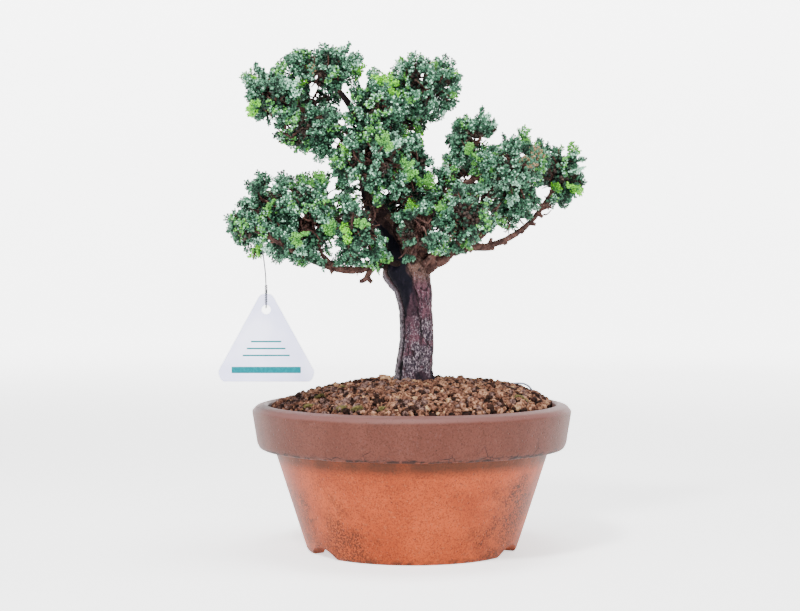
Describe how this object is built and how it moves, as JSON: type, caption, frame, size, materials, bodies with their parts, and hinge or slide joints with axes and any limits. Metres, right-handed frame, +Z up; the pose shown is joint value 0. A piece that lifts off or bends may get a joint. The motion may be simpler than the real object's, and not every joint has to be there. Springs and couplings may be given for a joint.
{
  "type": "potted bonsai conifer",
  "caption": "Bonsai conifer with clustered masses of scale foliage on a stout forked trunk, in a round terracotta pot of granular soil, with a hanging label",
  "frame": {"origin": "middle of the pot's underside, on the pot's axis, at the level of its feet", "axes": "+Z up along the pot's axis; -Y is the front of the plant; +X is to the right of someone who looks at the front"},
  "size_m": [0.2771, 0.2402, 0.3777],
  "materials": {
    "terracotta": "matt fired clay, the rim browner than the body",
    "soil": "loose granules of baked clay",
    "bark": "rough fissured bark",
    "foliage": "dense sprays of small scale leaves",
    "label": "pale satin plastic sheet",
    "wire": "thin dark wire"
  },
  "bodies": {
    "root": {"pot": "terracotta", "soil": "soil", "trunk": "bark", "bough_left_low": "bark", "bough_left_tip": "bark", "bough_left_front": "bark", "bough_left_inner": "bark", "bough_left_back": "bark", "bough_low_front": "bark", "bough_low_back": "bark", "bough_right_leader": "bark", "bough_right_low": "bark", "bough_right_outer": "bark", "bough_right_front": "bark", "bough_right_second": "bark", "bough_right_middle": "bark", "bough_right_back": "bark", "bough_centre_right": "bark", "bough_centre_front": "bark", "bough_upper_left": "bark", "bough_upper_left_low": "bark", "bough_upper_left_back": "bark", "bough_top_right": "bark", "bough_upper_back": "bark", "foliage_top_left": "foliage", "foliage_upper_left": "foliage", "foliage_upper_left_low": "foliage", "foliage_upper_left_back": "foliage", "foliage_upper_middle": "foliage", "foliage_top_right": "foliage", "foliage_upper_back": "foliage", "foliage_centre_front": "foliage", "foliage_centre_right": "foliage", "foliage_right_upper": "foliage", "foliage_right_middle": "foliage", "foliage_right_far": "foliage", "foliage_right_low": "foliage", "foliage_right_under": "foliage", "foliage_right_back": "foliage", "foliage_left_far": "foliage", "foliage_left_tip": "foliage", "foliage_left_front": "foliage", "foliage_left_inner": "foliage", "foliage_left_back": "foliage", "foliage_low_back": "foliage", "foliage_low_front": "foliage", "label": "label", "label_wire": "wire"}
  },
  "joints": []
}
